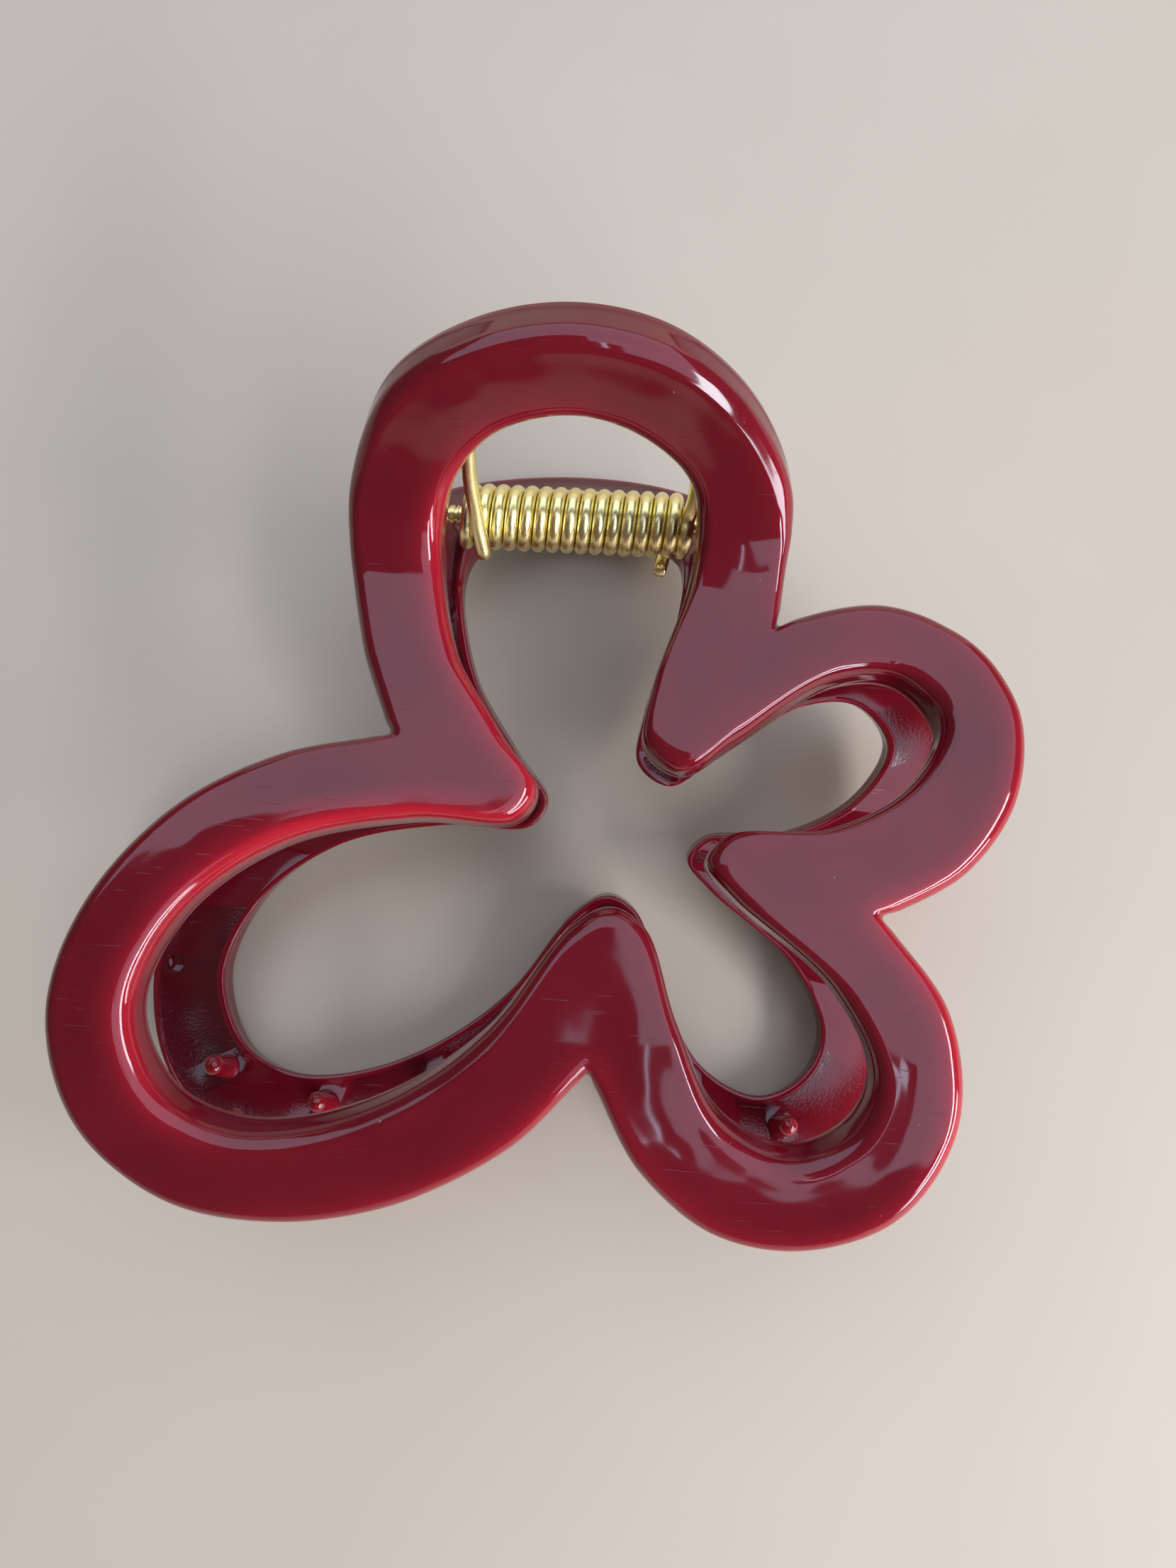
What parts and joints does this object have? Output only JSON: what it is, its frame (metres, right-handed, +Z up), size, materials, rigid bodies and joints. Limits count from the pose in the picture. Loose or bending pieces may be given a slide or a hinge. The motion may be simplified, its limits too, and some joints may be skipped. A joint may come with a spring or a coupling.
{
  "type": "hair claw clip",
  "caption": "Open four-lobed hair claw clip: two mirrored curved jaws with peg teeth turn on a pin and are held shut by a torsion spring.",
  "frame": {"origin": "centre of the clip's bounding box in plan, on the table that the clip lies on", "axes": "+X along the hinge pin, +Y from the teeth towards the finger levers, +Z up, out of the front jaw. The clip lies closed on its back jaw, so its mid-plane leans 9.49 degrees about X."},
  "size_m": [0.091, 0.089, 0.0536],
  "materials": {
    "jaw_plastic": "glossy, slightly translucent wine red",
    "gold_metal": "bright gold-coloured wire and pin"
  },
  "bodies": {
    "back": {"back_jaw": "jaw_plastic", "hinge_pin": "gold_metal", "torsion_spring": "gold_metal"},
    "front": {"front_jaw": "jaw_plastic"}
  },
  "joints": [
    {"name": "jaw_hinge", "type": "hinge", "parent": "back", "child": "front", "pos_m": [0.00093, 0.02822, 0.02538], "axis": [-1, 0, 0], "range_deg": [0, 55], "stiffness_Nm_per_rad": 0.12, "springref_deg": -40.11, "deforming": ["torsion_spring"]}
  ]
}
